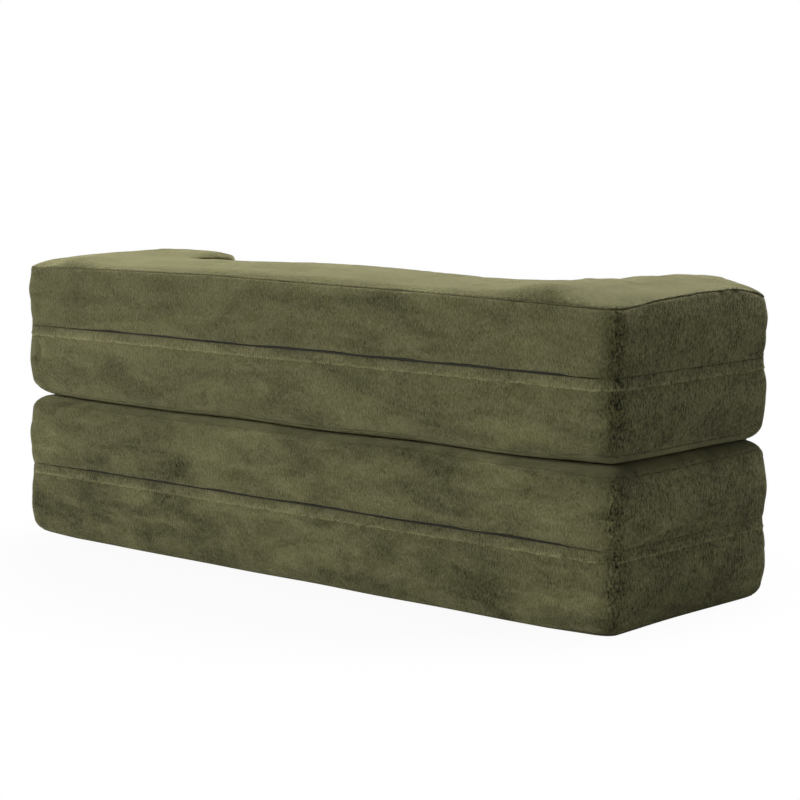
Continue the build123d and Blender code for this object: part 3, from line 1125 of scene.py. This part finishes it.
class SOFA_OT_hinges(bpy.types.Operator):
    """Makes the sewn hinges: a ribbon along each back pivot and a plain strip along the front one"""

    bl_idname = "sofa.hinges"
    bl_label = "Fabric hinges"

    def execute(self, context):
        for hinge, lower, upper in (("lower", 1, 2), ("upper", 3, 4)):
            leaf = f"{hinge}_back_hinge_lower_leaf"
            reach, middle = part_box(leaf)[1].x, HINGE_HEIGHT[hinge]
            x = np.arange(reach, -reach - 0.001, -0.0026)
            path = np.column_stack([x, np.full(len(x), HALF_DEPTH - RIBBON_SUNK)])
            out = np.repeat([[0.0, 1.0]], len(x), 0)
            sections = ribbon_sections(path, out, reach - x, middle, np.zeros(len(x)), 310 + lower, 0.0)[::-1]
            sections[..., 1] = np.minimum(sections[..., 1], PIVOT - 0.0002)
            piece = tube_piece(f"{hinge}_back_hinge_ribbon", sections)
            hem_shares(piece, sections)
            dress(piece, "ribbon", None, leaf, f"{hinge}_back_hinge_upper_leaf")
            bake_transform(piece)
        lo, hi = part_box("front_hinge_lower_leaf")
        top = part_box("front_hinge_upper_leaf")[1].z
        middle = HINGE_HEIGHT["front"]
        x = np.arange(-hi.x, hi.x + 0.001, 0.004)
        z = np.concatenate([
            np.linspace(lo.z, middle - 0.003, 12), np.linspace(middle - 0.002, middle + 0.002, 5),
            np.linspace(middle + 0.003, top, 12)])
        wave = 0.0004 * ripple(np.stack(np.meshgrid(x, z, indexing="ij"), -1), 0.05, 330)
        outer = HINGE_ROOM - PIVOT + 0.0004 + np.abs(wave)
        xx, zz = np.meshgrid(x, np.concatenate([z, z[::-1]]), indexing="ij")
        y = np.concatenate([outer, outer[:, ::-1] + STRIP_THICK], 1)
        piece = tube_piece("front_hinge_strip", np.stack([xx, y, zz], -1)[::-1])
        dress(piece, "plush", None, "front_hinge_lower_leaf", "front_hinge_upper_leaf")
        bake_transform(piece)
        return {"FINISHED"}


class SOFA_OT_zips(bpy.types.Operator):
    """Gives the zips their woven, nylon and metal finishes"""

    bl_idname = "sofa.zips"
    bl_label = "Zips"

    def execute(self, context):
        for number in (2, 4):
            for part in ("zip_tape", "zip_coil", "zip_stops", "zip_slider"):
                node = frame["nodes"][f"panel_{number}_{part}"]
                if not node.material_slots:
                    node.data.materials.append(None)
                for place in node.material_slots:
                    place.link = "OBJECT"
                    place.material = finishes()[part if part in FINISHES else "zip_metal"]
        return {"FINISHED"}


def put(name, data, place, aim):
    """Puts a lamp or a camera at a place and points it along a direction."""
    item = bpy.data.objects.new(name, data)
    item.location = place
    item.rotation_mode = "QUATERNION"
    item.rotation_quaternion = aim.to_track_quat("-Z", "Y")
    bpy.context.scene.collection.objects.link(item)
    return item


class SOFA_OT_stage(bpy.types.Operator):
    """Makes the white floor and backdrop, the soft lamps and the camera"""

    bl_idname = "sofa.stage"
    bl_label = "Stage"

    def execute(self, context):
        scene = context.scene
        s = scene.sofa_stage
        scene.view_settings.view_transform = "Standard"
        world = bpy.data.worlds.new("studio")
        scene.world = world
        world.use_nodes = True
        sky = Nodes(world.node_tree, "ShaderNodeOutputWorld")
        soft, white = (
            sky.node("ShaderNodeBackground", {}, {"Color": WHITE, "Strength": strength}) for strength in (s.sky, 1.0))
        sky.end_mixed(sky.seen(), soft, white)
        a = np.linspace(0, 2 * np.pi, FLOOR_POINTS + 1)[:-1]
        rim = np.column_stack([FLOOR_RADIUS * np.cos(a), FLOOR_RADIUS * np.sin(a), np.full(FLOOR_POINTS, FLOOR_DROP)])
        mesh = bpy.data.meshes.new("floor")
        mesh.from_pydata(rim.tolist(), [], [list(range(FLOOR_POINTS))])
        floor = bpy.data.objects.new("floor", mesh)
        scene.collection.objects.link(floor)
        f = Finish("floor")
        f.set(Base_Color=(0.42, 0.42, 0.41), Roughness=0.9)
        away = f.node("ShaderNodeVectorMath", {"operation": "LENGTH"}, {0: f.place()}, "Value")
        share = f.seen() * (((away - 0.6) * 0.2).held() + 0.94).held()
        glow = f.node("ShaderNodeEmission", {}, {"Strength": 1.0})
        f.end_mixed(share, Reading(f.tree, f.surface.outputs[0]), glow)
        mesh.materials.append(f.material)
        for name, place, size, power in LAMPS:
            lamp = bpy.data.lights.new(name, "AREA")
            lamp.shape, lamp.size, lamp.energy = "DISK", size, s.key * power
            put(name, lamp, place, Vector(LAMP_AIM) - Vector(place))
        camera = bpy.data.cameras.new("camera")
        camera.lens, camera.sensor_width = s.lens, 36.0
        camera.clip_start, camera.clip_end = 0.05, 60.0
        scene.camera = put("camera", camera, tuple(s.camera_place), Vector(s.camera_aim))
        return {"FINISHED"}


class SOFA_PT_builder(bpy.types.Panel):
    """Lists the steps that build the sofa bed"""

    bl_label = "Sofa bed"
    bl_idname = "SOFA_PT_builder"
    bl_space_type = "VIEW_3D"
    bl_region_type = "UI"
    bl_category = "Sofa bed"

    def draw(self, context):
        for name, group in GROUPS.items():
            for key in group.__annotations__:
                self.layout.prop(getattr(context.scene, name), key)
        for step in STEPS:
            self.layout.operator(step.bl_idname)


STEPS = (
    SOFA_OT_stage, SOFA_OT_foam, SOFA_OT_covers, SOFA_OT_stitches, SOFA_OT_ribbons, SOFA_OT_hinges, SOFA_OT_zips)
GROUPS = {"sofa_sizes": SofaSizes, "sofa_colours": SofaColours, "sofa_stage": SofaStage}
CLASSES = (*GROUPS.values(), *STEPS, SOFA_PT_builder)


def register():
    for item in CLASSES:
        bpy.utils.register_class(item)
    for key, group in GROUPS.items():
        setattr(bpy.types.Scene, key, PointerProperty(type=group))


def unregister():
    for key in GROUPS:
        delattr(bpy.types.Scene, key)
    for item in reversed(CLASSES):
        bpy.utils.unregister_class(item)


def main():
    register()
    bpy.ops.sofa.stage()
    bpy.ops.sofa.foam()
    bpy.ops.sofa.covers()
    bpy.ops.sofa.stitches()
    bpy.ops.sofa.ribbons()
    bpy.ops.sofa.hinges()
    bpy.ops.sofa.zips()


if __name__ == "__main__":
    main()
